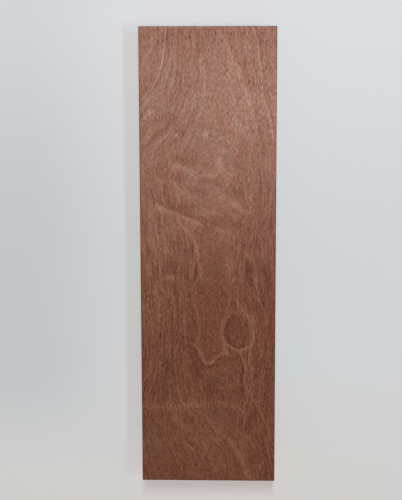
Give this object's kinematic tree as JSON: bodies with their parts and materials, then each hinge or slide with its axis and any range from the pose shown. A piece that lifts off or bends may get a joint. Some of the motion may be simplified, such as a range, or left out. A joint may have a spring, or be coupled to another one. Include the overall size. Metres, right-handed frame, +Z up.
{
  "type": "wood turning blank",
  "caption": "Solid rectangular hardwood blank, planed on its long sides and sawn square at both ends, for turning on a lathe or cutting into smaller parts.",
  "frame": {"origin": "centre of the broad face that the blank lies on", "axes": "+Y along the grain, towards the end that is uppermost in the picture; +X across the width, to the right in the picture; +Z up through the thickness, out of the broad face that the picture shows"},
  "size_m": [0.15, 0.51, 0.05],
  "materials": {
    "planed_hardwood": "bare red-brown hardwood, planed and lightly sanded, satin"
  },
  "bodies": {
    "root": {"turning_blank": "planed_hardwood"}
  },
  "joints": []
}
